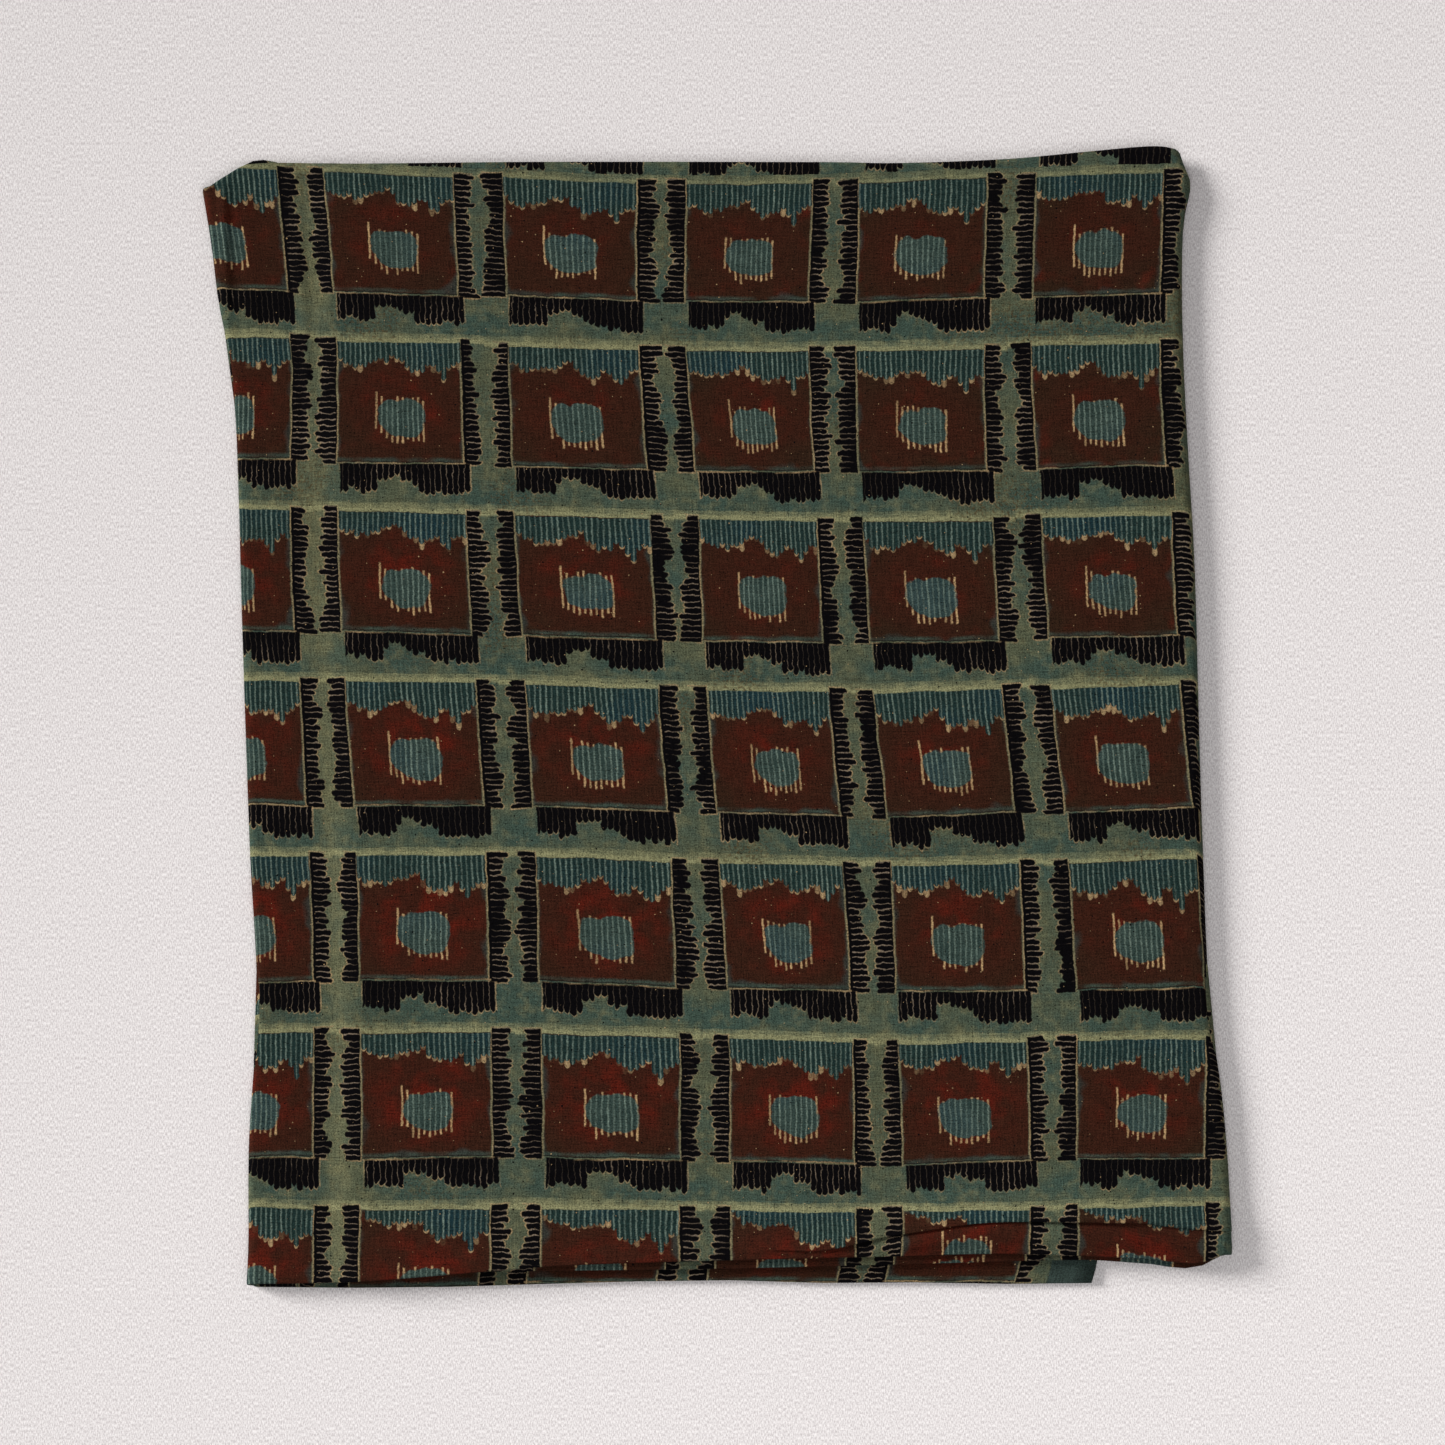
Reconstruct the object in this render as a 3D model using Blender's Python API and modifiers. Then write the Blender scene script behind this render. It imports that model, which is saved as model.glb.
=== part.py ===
"""A length of block printed cloth, folded flat.

The cloth was first folded back and forth along its length into a long flat strip, six plies
deep. Then the strip was folded in three across its width, like a letter. The solid is that
second fold: its section runs from a selvedge under everything, to the left, up and over the
left side, across the top, back under at the right side, and ends between the two, where the
edge of the middle panel shows through the top one as a long step. Each of its three layers
stands for the six thin plies of the strip.

Frame: metres, +Z up, X across the panels, Y from the loose near edge (negative) to the far one.
The origin is the middle of the footprint, on the surface that the cloth lies on.
"""

from collections import namedtuple
from math import cos, exp, pi, sin

import bmesh
import bpy

MM = 0.001

# Thickness of one layer, and the air between it and the next.
LAYER = 2.2 * MM
GAP = 0.5 * MM
PITCH = LAYER + GAP

# The outline seen from above, in millimetres: (y, x) along its two sides, which are folds, and
# (x, y) along the far edge.
LEFT_SIDE = [(-239, -196), (-182, -196), (-119, -193), (-56, -196), (50, -199), (92, -200),
             (134, -202), (176, -208), (222, -215), (240, -218)]
RIGHT_SIDE = [(-239, 214.2), (-202, 214.2), (-160, 211), (-119, 207), (-50, 204), (67, 200),
              (113, 198), (163, 196), (209, 196), (225, 199), (233, 195), (240, 193)]
FAR_EDGE = [(-218, 219), (-206, 227), (-196, 232), (-100, 232), (75, 232), (123, 234),
            (157, 237), (181, 239), (190, 238.5), (196, 236), (210, 234)]

# The near edges of the three panels, (x, y) in millimetres.
TOP_NEAR = [(-200, -237), (-155, -236), (-91, -231), (-66, -229), (-7, -227), (77, -225),
            (119, -224), (179, -226), (199, -228), (209, -226), (216, -222)]
MIDDLE_NEAR = [(-200, -235), (-91, -232), (-7, -231), (77, -229), (162, -227), (181, -229),
               (198, -231), (209, -228), (216, -222)]
LOWEST_NEAR = [(-200, -239), (-125, -239), (-91, -237.5), (-28, -236), (-7, -235), (26, -237),
               (77, -236.5), (160, -237)]

# Where the two selvedges lie inside the pile, (y, x) in millimetres: the lowest panel's at the
# right, and the middle panel's at the left.
LOWEST_END = [(-239, 156), (240, 136)]
MIDDLE_END = [(-239, -150), (-100, -150), (10, -152), (52, -155), (161, -158), (240, -159)]

# A panel of the folded strip. level counts up from the surface, near is the line of its near
# edge, and the rest are in millimetres: how far it stays back from the far edge, and how much
# it is lifted at its near and far ends by the loose plies in it.
Panel = namedtuple("Panel", "level near far_back near_lift far_lift")
LOWEST = Panel(0, LOWEST_NEAR, 1.5, 0.0, 0.0)
TOP = Panel(2, TOP_NEAR, 0.0, 1.9, 0.5)
MIDDLE = Panel(1, MIDDLE_NEAR, 4.0, 0.9, 0.2)
# How far in from its end a panel is still lifted.
LIFT_REACH = 17 * MM

# Left of the middle panel's edge the top panel sinks by this much, over this distance.
SINK = 1.8 * MM
SINK_WIDTH = 13 * MM
# Right of the lowest panel's edge the middle panel comes down to the surface and the top one
# sinks a little, over this distance.
DROP_START = 3 * MM
DROP_WIDTH = 22 * MM
TOP_DROP = 0.4 * MM

# The soft pleat across the top panel behind its near edge: (x, y) of its crest and its height.
PLEAT = [(31, -226), (70, -219), (112, -211), (160, -212), (212, -216)]
PLEAT_HEIGHT = [(31, 0.0), (70, 1.4), (112, 2.4), (160, 1.8), (212, 1.4)]
PLEAT_BEHIND = 9 * MM
PLEAT_BEFORE = 3 * MM

# The net that the cloth is drawn on, in bands of cells: how far each band reaches, as a
# percentage of the way, and how many cells it has. Places that bend have more of them.
Band = namedtuple("Band", "reach cells")
ACROSS_TOP = [Band(3, 2), Band(12, 7), Band(70, 8), Band(92, 5), Band(100, 3)]
ACROSS_LOWEST = [Band(100, 7)]
ACROSS_MIDDLE = [Band(4, 1), Band(16, 5), Band(94, 6), Band(100, 1)]
NEAR_TO_FAR = [Band(4, 6), Band(10, 4), Band(84, 10), Band(95, 3), Band(100, 2)]
FOLD_STEPS = 8
OUTLINE_ROUNDS = 4

CLOTH_COLOUR = (0.055, 0.045, 0.032, 1.0)
CLOTH_ROUGHNESS = 0.85


def along(points, at):
    """The smooth curve through (position, value) points, in metres, at a position in metres."""
    at = at / MM
    last = len(points) - 1
    first = max(0, min(last - 1, sum(at >= p[0] for p in points) - 1))
    (a, value_a), (b, value_b) = points[first], points[first + 1]
    before, after = points[max(0, first - 1)], points[min(last, first + 2)]
    slope_a = (value_b - before[1]) / (b - before[0])
    slope_b = (after[1] - value_a) / (after[0] - a)
    t = max(0.0, min(1.0, (at - a) / (b - a)))
    step = b - a
    return MM * (
        (2 * t**3 - 3 * t**2 + 1) * value_a
        + (t**3 - 2 * t**2 + t) * step * slope_a
        + (3 * t**2 - 2 * t**3) * value_b
        + (t**3 - t**2) * step * slope_b
    )


def mix(low, high, share):
    return low + (high - low) * share


def bell(distance, width):
    return exp(-((distance / width) ** 2))


def ease(distance, width):
    """From 0 to 1 over a width, with soft ends."""
    t = max(0.0, min(1.0, distance / width))
    return t * t * (3 - 2 * t)


def stations(bands):
    """The places from 0 to 1 that the bands divide the way into."""
    places = [0.0]
    for band in bands:
        start = places[-1]
        places += [mix(start, band.reach / 100, (k + 1) / band.cells) for k in range(band.cells)]
    return places


def pleat_height(x, y):
    if x < PLEAT[0][0] * MM:
        return 0.0
    behind = y - along(PLEAT, x)
    width = PLEAT_BEHIND if behind > 0 else PLEAT_BEFORE
    return along(PLEAT_HEIGHT, x) * bell(behind, width)


def height(panel, x, y, near, far):
    """The middle of a panel's thickness above the surface at (x, y), between its two ends."""
    z = LAYER / 2 + panel.level * PITCH
    z += panel.near_lift * MM * bell(y - near, LIFT_REACH)
    z += panel.far_lift * MM * bell(far - y, LIFT_REACH)
    drop = ease(x - along(LOWEST_END, y) - DROP_START, DROP_WIDTH)
    if panel is TOP:
        z -= SINK * ease(along(MIDDLE_END, y) - x, SINK_WIDTH)
        z -= TOP_DROP * drop
        z += pleat_height(x, y)
    if panel is MIDDLE:
        z = mix(z, LAYER / 2, drop)
    return z


def panel_point(panel, left, right, across, share):
    """A point of a panel: across from 0 at its left to 1, share from 0 at its near end to 1.

    left and right give the x of its sides at a y."""
    x, y = mix(left(0.0), right(0.0), across), 0.0
    for _ in range(OUTLINE_ROUNDS):
        near, far = along(panel.near, x), along(FAR_EDGE, x) - panel.far_back * MM
        y = mix(near, far, share)
        x = mix(left(y), right(y), across)
    return x, y, height(panel, x, y, near, far)


def fold_point(start, end, outward, turn):
    """A point on the half round fold from one panel's side to the next one's, turn 0 to 1."""
    x, y = mix(start[0], end[0], turn), mix(start[1], end[1], turn)
    middle, radius = (start[2] + end[2]) / 2, (start[2] - end[2]) / 2
    return x + outward * abs(radius) * sin(pi * turn), y, middle + radius * cos(pi * turn)


def side(line, inward, panel, other):
    """The x at a y where a panel's flat part ends, inside the outline by its fold's bulge."""
    def x_at(y):
        x = along(line, y)
        centre = (along(panel.near, x) + along(FAR_EDGE, x)) / 2
        apart = height(panel, x, centre, -1.0, 1.0) - height(other, x, centre, -1.0, 1.0)
        return x + inward * (abs(apart) / 2 + LAYER / 2)
    return x_at


def section(share):
    """The section of the folded strip at one station from its near end to its far one."""
    left, right = side(LEFT_SIDE, 1, TOP, LOWEST), side(RIGHT_SIDE, -1, TOP, MIDDLE)
    lowest_end, middle_end = (lambda y: along(LOWEST_END, y)), (lambda y: along(MIDDLE_END, y))
    lowest = [panel_point(LOWEST, left, lowest_end, across, share)
              for across in reversed(stations(ACROSS_LOWEST))]
    top = [panel_point(TOP, left, right, across, share) for across in stations(ACROSS_TOP)]
    middle = [panel_point(MIDDLE, right, middle_end, across, share)
              for across in stations(ACROSS_MIDDLE)]
    turns = [k / FOLD_STEPS for k in range(1, FOLD_STEPS)]
    left_fold = [fold_point(lowest[-1], top[0], -1, turn) for turn in turns]
    right_fold = [fold_point(top[-1], middle[0], 1, turn) for turn in turns]
    return lowest + left_fold + top + right_fold + middle


def clear_scene():
    for obj in list(bpy.data.objects):
        bpy.data.objects.remove(obj)


def cloth_material():
    material = bpy.data.materials.new("printed_cloth")
    material.use_nodes = True
    shader = material.node_tree.nodes["Principled BSDF"]
    shader.inputs["Base Color"].default_value = CLOTH_COLOUR
    shader.inputs["Roughness"].default_value = CLOTH_ROUGHNESS
    shader.inputs["Metallic"].default_value = 0.0
    return material


def folded_cloth(collection):
    """A flat grid bent along the section, then given the thickness of a layer."""
    sections = [section(share) for share in stations(NEAR_TO_FAR)]
    rows, columns = len(sections) - 1, len(sections[0]) - 1
    mesh = bpy.data.meshes.new("folded_cloth")
    sheet = bmesh.new()
    bmesh.ops.create_grid(sheet, x_segments=columns, y_segments=rows, size=0.5)
    for vertex in sheet.verts:
        column = round((vertex.co.x + 0.5) * columns)
        row = round((vertex.co.y + 0.5) * rows)
        vertex.co = sections[row][column]
    sheet.to_mesh(mesh)
    sheet.free()
    mesh.shade_smooth()
    mesh.materials.append(cloth_material())
    cloth = bpy.data.objects.new("folded_cloth", mesh)
    collection.objects.link(cloth)
    thick = cloth.modifiers.new("Thickness", "SOLIDIFY")
    thick.thickness = LAYER
    thick.offset = 0.0
    return cloth


def main():
    clear_scene()
    collection = bpy.data.collections.new("Folded ajrakh cloth")
    bpy.context.scene.collection.children.link(collection)
    folded_cloth(collection)


main()
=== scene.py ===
from collections import namedtuple
from math import cos, exp, hypot, pi, radians, sin

import bpy
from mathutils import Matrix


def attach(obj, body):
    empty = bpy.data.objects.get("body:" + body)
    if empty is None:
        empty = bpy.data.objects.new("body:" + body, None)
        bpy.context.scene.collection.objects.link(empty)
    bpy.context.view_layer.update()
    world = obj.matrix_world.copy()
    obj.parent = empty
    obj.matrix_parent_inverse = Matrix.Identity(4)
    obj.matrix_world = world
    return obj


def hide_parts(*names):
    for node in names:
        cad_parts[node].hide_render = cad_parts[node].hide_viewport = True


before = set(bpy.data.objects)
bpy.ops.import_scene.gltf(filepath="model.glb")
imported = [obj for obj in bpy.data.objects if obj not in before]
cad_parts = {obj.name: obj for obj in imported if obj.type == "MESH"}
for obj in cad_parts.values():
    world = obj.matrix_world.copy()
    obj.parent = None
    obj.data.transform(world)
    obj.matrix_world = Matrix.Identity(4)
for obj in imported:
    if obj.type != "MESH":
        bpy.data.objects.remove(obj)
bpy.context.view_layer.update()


# The cloth.
# One length of thin plain-weave cotton, about 1.13 m wide, printed by hand with carved blocks and
# never cut up or sewn. It was folded back and forth along its length into a strip six plies
# deep, and the strip was then folded in three like a letter. Everything here is in millimetres.

CLOTH_THICKNESS = 0.25
PLY_PITCH = 0.385
MIDDLE_PLY = 2.5
PANEL_THICKNESS = 2.2
PANEL_PITCH = 2.7

# The outline seen from above: (y, x) along its two sides and (x, y) along its far edge.
LEFT_SIDE = [(-239, -196), (-182, -196.5), (-119, -193), (-56, -196), (50, -199.6),
             (92, -200.7), (134, -202.7), (176, -208.8), (222, -215.6), (240, -218.5)]
RIGHT_SIDE = [(-239, 215.2), (-202, 215.8), (-160, 212.8), (-122, 207.6), (-50, 204.4),
              (10, 202.6), (67, 201), (113, 198.3), (163, 196), (209, 196.4), (225, 199.4),
              (233, 195.6), (240, 194)]
FAR_EDGE = [(-218, 219), (-206, 227), (-196, 232), (-150, 232), (-78, 232.7), (50, 232.6),
            (75, 232.2), (123, 234), (157, 237.2), (181, 239.3), (190, 238.8), (196, 236),
            (210, 234)]

# The near edges of the three panels (x, y).
TOP_NEAR = [(-200, -237), (-155, -236), (-91, -231), (-66, -229), (-7, -227), (77, -225),
            (119, -224), (179, -226), (199, -228), (209, -226), (216, -222)]
MIDDLE_NEAR = [(-200, -235), (-91, -232), (-7, -231), (77, -229), (162, -227), (181, -229),
               (198, -231), (209, -228), (216, -222)]
LOWEST_NEAR = [(-200, -239), (-125, -239.4), (-91, -238.1), (-45, -237.4), (-28, -236.4),
               (-7, -235.6), (26, -237.4), (77, -237), (104, -237.8), (160, -237.4)]

# The two selvedges inside the pile (y, x): the lowest panel's and the middle panel's.
LOWEST_END = [(-239, 157.5), (-226, 160.5), (-150, 155), (240, 136)]
MIDDLE_END = [(-239, -150), (-100, -150), (10, -152), (52, -155), (161, -158), (240, -159)]

# A panel of the strip: its place in the pile, which way its outermost ply faces, the line of its
# near edge, how far it stays back from the far edge, and how far its ends are puffed up.
Panel = namedtuple("Panel", "level outward near far_back near_lift far_lift")
LOWEST = Panel(0, -1, LOWEST_NEAR, 1.5, 0.0, 0.0)
TOP = Panel(2, 1, TOP_NEAR, 0.0, 1.9, 0.5)
MIDDLE = Panel(1, -1, MIDDLE_NEAR, 4.0, 0.9, 0.2)
# How far in from an end that lift reaches, and how much of it the panel's lowest ply gets.
LIFT_REACH = 17
LOWEST_PLY_NEAR_LIFT, LOWEST_PLY_FAR_LIFT = 0.45, 0.3
# The uppermost ply is puffed up a little more at its edges.
EDGE_PUFF, EDGE_PUFF_REACH, FAR_EDGE_PUFF = 0.5, 5, 0.4
# The lowest panel peeps out past the far edge near its left corner.
PEEP, PEEP_X, PEEP_WIDTH = 3.8, -192, 11

# Left of the middle panel's selvedge the top panel sinks, and right of the lowest panel's the
# middle panel comes down to the floor.
SINK, SINK_WIDTH = 1.8, 13
DROP_START, DROP_WIDTH, TOP_DROP = 3, 22, 0.4

# How far each ply stays back from the panel's near and far edges. Plies 5 and 4, 3 and 2, and 1
# and 0 meet in a fold at the near edge, 3 and 4 and the wrap from 5 to 0 at the far one.
Ply = namedtuple("Ply", "near_back far_back")
PLIES = [Ply(0.3, 0.9), Ply(0.3, 6.5), Ply(1.3, 5.5), Ply(1.3, 3.0), Ply(0.3, 3.0), Ply(0.3, 0.9)]
OUTERMOST = len(PLIES) - 1

# The tuck in the outermost ply of the top panel, behind its near edge: where its lip lies, and
# how deep it goes under and how high it stands there.
Lip = namedtuple("Lip", "x y depth height")
LIPS = [Lip(-220, -234, 0, 0), Lip(-66, -226, 0, 0), Lip(10, -225.5, 0, 0),
        Lip(31, -227.0, 0.8, 0.9), Lip(44, -225.4, 2.4, 2.0), Lip(56, -221.3, 3.6, 2.6),
        Lip(69, -217.3, 4.4, 2.9), Lip(86, -214.4, 4.9, 3.0), Lip(113, -210.8, 4.8, 3.0),
        Lip(153, -211.2, 4.1, 2.8), Lip(167, -212.0, 3.4, 2.6), Lip(179, -213.0, 2.4, 2.2),
        Lip(196, -215.5, 1.6, 1.8), Lip(212, -216.6, 1.2, 1.4)]
# How far the tuck reaches behind its lip and before it, how wide the ridge behind it is, how much
# cloth there is before it at the least, and how far the lip leans out.
LIP_BACK, LIP_FRONT, LIP_RIDGE, LEAST_FRONT, LIP_LEAN = 6, 4, 9, 0.35, 0.35
# Round the right side the lip fades out on the middle panel, this far in from its near edge.
LIP_FADE, FADED_LIP_IN, LIP_IN_MORE = 7, 3, 5
# The height through the tuck, from its back to its front, as a share of the lip's. In front of
# the lip the cloth swells up again, so a narrow dark valley lies between.
TUCK_PROFILE = [(0, 0.64), (0.1, 0.9), (0.2, 1.0), (0.28, 0.9), (0.34, 0.7), (0.45, 0.35),
                (0.55, 0.1), (0.65, 0.0), (1, 0.0)]
FRONT_SWELL, FRONT_ROOM, FRONT_SWELL_FULL = 0.72, 6, 0.85
TUCK_SWELL_START, TUCK_SWELL_RUN = 0.88, 0.09

# Soft creases and swells of the top panel: a line from one point to another, how wide it is and
# how high, with troughs below nothing.
Crease = namedtuple("Crease", "x0 y0 x1 y1 width height")
CREASES = [
    Crease(-206.8, 228, -205.4, 168, 1.7, 1.7),
    Crease(-198, 224, -192, 140, 4.0, 0.3),
    Crease(-177, 228, -168, 96, 2.0, 1.0),
    Crease(-148.5, 6, -147.5, -40, 1.4, 0.3),
    Crease(-120, 150, -60, 158, 14.0, 0.35),
    Crease(-30, 90, 60, 84, 18.0, 0.4),
    Crease(60, 172, 160, 160, 16.0, 0.4),
    Crease(120, 60, 180, 20, 20.0, 0.5),
    Crease(-90, -60, 20, -70, 18.0, 0.4),
    Crease(60, -110, 170, -120, 16.0, 0.45),
    Crease(-160, -170, -60, -176, 14.0, 0.4),
    Crease(150, 232, 196, 214, 7.0, 0.9),
    Crease(0, -196, 60, -205, 12.0, 0.5),
    Crease(21, -204, 24, -227, 3.0, 1.2),
    Crease(-44, -222.5, 14, -219.5, 1.4, 0.5),
    Crease(-14, -226.0, 44, -221.5, 1.2, 0.5),
    Crease(-120, -228.5, -60, -224.5, 1.8, 0.4),
]
# A crease swells and fades along its line, and towards the panel's near and far edges.
CREASE_START, CREASE_END = 0.1, 0.9
CREASE_NEAR_FADE, CREASE_FAR_FADE = 5, 6

# The net of the sheet, in bands of cells: how far each band reaches, in hundredths, and how many
# cells it has.
Band = namedtuple("Band", "reach cells")
ACROSS_TOP = [Band(6, 18), Band(15, 18), Band(80, 34), Band(97, 12), Band(100, 6)]
ACROSS_LOWEST = [Band(3, 3), Band(12, 7), Band(90, 7), Band(100, 4)]
ACROSS_MIDDLE = [Band(8, 4), Band(92, 12), Band(100, 3)]
PLY_ROWS = [Band(1, 2), Band(5, 4), Band(90, 7), Band(100, 3)]
FIELD_ROWS = [Band(4, 5), Band(95, 50), Band(99, 5), Band(100, 2)]
TUCK_ROWS = 34
FRONT_ROWS = 8
SIDE_STEPS = 8
WRAP_STEPS = 8
FOLD_STEPS = 6
OUTLINE_ROUNDS = 4


def along(points, at):
    """The smooth curve through (position, value) points, at a position."""
    last = len(points) - 1
    first = max(0, min(last - 1, sum(at >= p[0] for p in points) - 1))
    (a, value_a), (b, value_b) = points[first], points[first + 1]
    before, after = points[max(0, first - 1)], points[min(last, first + 2)]
    slope_a = (value_b - before[1]) / (b - before[0])
    slope_b = (after[1] - value_a) / (after[0] - a)
    t = max(0.0, min(1.0, (at - a) / (b - a)))
    step = b - a
    return (
        (2 * t**3 - 3 * t**2 + 1) * value_a
        + (t**3 - 2 * t**2 + t) * step * slope_a
        + (3 * t**2 - 2 * t**3) * value_b
        + (t**3 - t**2) * step * slope_b
    )


def mix(low, high, share):
    return low + (high - low) * share


def bell(distance, width):
    return exp(-((distance / width) ** 2))


def ease(distance, width):
    """From 0 to 1 over a width, with soft ends."""
    t = max(0.0, min(1.0, distance / width))
    return t * t * (3 - 2 * t)


def stations(bands):
    """The places from 0 to 1 that the bands divide the way into."""
    places = [0.0]
    for band in bands:
        start = places[-1]
        places += [mix(start, band.reach / 100, (k + 1) / band.cells) for k in range(band.cells)]
    return places


def crease_height(x, y):
    """How much the creases lift the top panel's outermost ply at a point."""
    height = 0.0
    for c in CREASES:
        run_x, run_y = c.x1 - c.x0, c.y1 - c.y0
        length = hypot(run_x, run_y)
        share = max(0.0, min(1.0, ((x - c.x0) * run_x + (y - c.y0) * run_y) / length**2))
        away = hypot(x - c.x0 - share * run_x, y - c.y0 - share * run_y)
        along_it = sin(pi * mix(CREASE_START, CREASE_END, share))
        height += c.height * bell(away, c.width) * along_it
    return height


def panel_far(panel, x):
    """The far edge of a panel. The lowest one peeps out at the far left corner."""
    peep = PEEP * bell(x - PEEP_X, PEEP_WIDTH) if panel is LOWEST else 0.0
    return along(FAR_EDGE, x) - panel.far_back + peep


def panel_middle(panel, x, y):
    """The height of the middle of a panel's plies at a point, away from its ends."""
    z = PANEL_THICKNESS / 2 + panel.level * PANEL_PITCH
    drop = ease(x - along(LOWEST_END, y) - DROP_START, DROP_WIDTH)
    if panel is TOP:
        z -= SINK * ease(along(MIDDLE_END, y) - x, SINK_WIDTH) + TOP_DROP * drop
    if panel is MIDDLE:
        z = mix(z, PANEL_THICKNESS / 2, drop)
    return z


def ply_height(panel, ply, x, y, near, far):
    """The height of one ply of a panel at a point."""
    z = panel_middle(panel, x, y) + panel.outward * (ply - MIDDLE_PLY) * PLY_PITCH
    upward = ply / OUTERMOST if panel.outward > 0 else 1 - ply / OUTERMOST
    z += panel.near_lift * bell(y - near, LIFT_REACH) * mix(LOWEST_PLY_NEAR_LIFT, 1.0, upward)
    z += panel.far_lift * bell(far - y, LIFT_REACH) * mix(LOWEST_PLY_FAR_LIFT, 1.0, upward)
    if upward == 1:
        far_puff = FAR_EDGE_PUFF * bell(far - y, EDGE_PUFF_REACH)
        z += EDGE_PUFF * (bell(y - near, EDGE_PUFF_REACH) + far_puff)
    return z


def lip_at(panel, x):
    """The tuck's lip at an x: its y, depth and height. It fades out round the right side."""
    if panel is TOP:
        return Lip(x, *(along([(lip.x, lip[k]) for lip in LIPS], x) for k in (1, 2, 3)))
    last = LIPS[-1]
    fade = bell(x - last.x, LIP_FADE) if panel is MIDDLE else 0.0
    y = along(panel.near, x) + FADED_LIP_IN + LIP_IN_MORE * fade
    return Lip(x, y, last.depth * fade, last.height * fade)


# A row of the net: the ply it belongs to, the zone it lies in and how far through that zone.
Row = namedtuple("Row", "ply zone share")


def row_place(panel, row, x):
    """The y of a row at an x, and its height above the bed."""
    ply = PLIES[row.ply]
    near, far = along(panel.near, x), panel_far(panel, x)
    start, end = near + ply.near_back, far - ply.far_back
    if row.ply != OUTERMOST:
        y = mix(start, end, row.share)
        return y, ply_height(panel, row.ply, x, y, near, far)
    lip = lip_at(panel, x)
    back = lip.y + LIP_BACK
    front = max(lip.y - LIP_FRONT, start + LEAST_FRONT)
    swell = FRONT_SWELL * ease(front - start, FRONT_ROOM)
    if row.zone == "front":
        y = mix(start, front, row.share)
        lift = lip.height * swell * ease(row.share, FRONT_SWELL_FULL)
    elif row.zone == "tuck":
        through = 1 - row.share
        under = sin(2 * pi * through) - LIP_LEAN * sin(pi * through)
        y = mix(back, front, through) - lip.depth * under
        swollen = swell * ease(through - TUCK_SWELL_START, TUCK_SWELL_RUN)
        lift = lip.height * (along(TUCK_PROFILE, through) + swollen)
    else:
        y = mix(back, end, row.share)
        lift = lip.height * bell(y - lip.y, LIP_RIDGE)
    if panel is TOP:
        faded = ease(y - near, CREASE_NEAR_FADE) * ease(far - y, CREASE_FAR_FADE)
        lift += crease_height(x, y) * faded
    return y, ply_height(panel, row.ply, x, y, near, far) + lift


def panel_point(panel, row, left, right, across):
    """A point of a panel, across from 0 at its left to 1."""
    x, y, z = mix(left(0.0), right(0.0), across), 0.0, 0.0
    for _ in range(OUTLINE_ROUNDS):
        y, z = row_place(panel, row, x)
        x = mix(left(y), right(y), across)
    return x, y, z


def side(line, inward, panel, other):
    """The x at a y where a panel's flat part ends, inside the outline by its fold's bulge."""
    def x_at(y):
        x = along(line, y)
        apart = panel_middle(panel, x, y) - panel_middle(other, x, y)
        return x + inward * (abs(apart) / 2 + PANEL_THICKNESS / 2)
    return x_at


def side_fold(start, end, outward, turn):
    """A point on the half round fold from one panel's side to the next one's."""
    middle, radius = (start[2] + end[2]) / 2, (start[2] - end[2]) / 2
    x, y = mix(start[0], end[0], turn), mix(start[1], end[1], ease(turn, 1))
    return x + outward * abs(radius) * sin(pi * turn), y, middle + radius * cos(pi * turn)


def section(row):
    """One row of the net, from the lowest panel's selvedge round to the middle panel's."""
    left, right = side(LEFT_SIDE, 1, TOP, LOWEST), side(RIGHT_SIDE, -1, TOP, MIDDLE)
    lowest_end, middle_end = (lambda y: along(LOWEST_END, y)), (lambda y: along(MIDDLE_END, y))
    lowest = [panel_point(LOWEST, row, left, lowest_end, across)
              for across in reversed(stations(ACROSS_LOWEST))]
    top = [panel_point(TOP, row, left, right, across) for across in stations(ACROSS_TOP)]
    middle = [panel_point(MIDDLE, row, right, middle_end, across)
              for across in stations(ACROSS_MIDDLE)]
    turns = [k / SIDE_STEPS for k in range(1, SIDE_STEPS)]
    left_fold = [side_fold(lowest[-1], top[0], -1, turn) for turn in turns]
    right_fold = [side_fold(top[-1], middle[0], 1, turn) for turn in turns]
    return lowest + left_fold + top + right_fold + middle


def end_fold(last, following, outward, steps):
    """The rows of the fold where one ply turns into the next at the near or far edge."""
    rows = []
    for k in range(1, steps):
        turn = k / steps
        row = []
        for a, b in zip(last, following):
            radius = hypot(a[0] - b[0], a[2] - b[2]) / 2
            x, y, z = ((p + q) / 2 + (p - q) / 2 * cos(pi * turn) for p, q in zip(a, b))
            row.append((x, y + outward * radius * sin(pi * turn), z))
        rows.append(row)
    return rows


def ply_rows(ply, to_far):
    """The rows of one ply, from its near end to its far one or back."""
    if ply == OUTERMOST:
        rows = [Row(ply, "front", k / FRONT_ROWS) for k in range(FRONT_ROWS)]
        rows += [Row(ply, "tuck", k / TUCK_ROWS) for k in range(TUCK_ROWS)]
        rows += [Row(ply, "field", share) for share in stations(FIELD_ROWS)]
    else:
        rows = [Row(ply, "field", share) for share in stations(PLY_ROWS)]
    sections = [section(row) for row in rows]
    return sections if to_far else sections[::-1]


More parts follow.
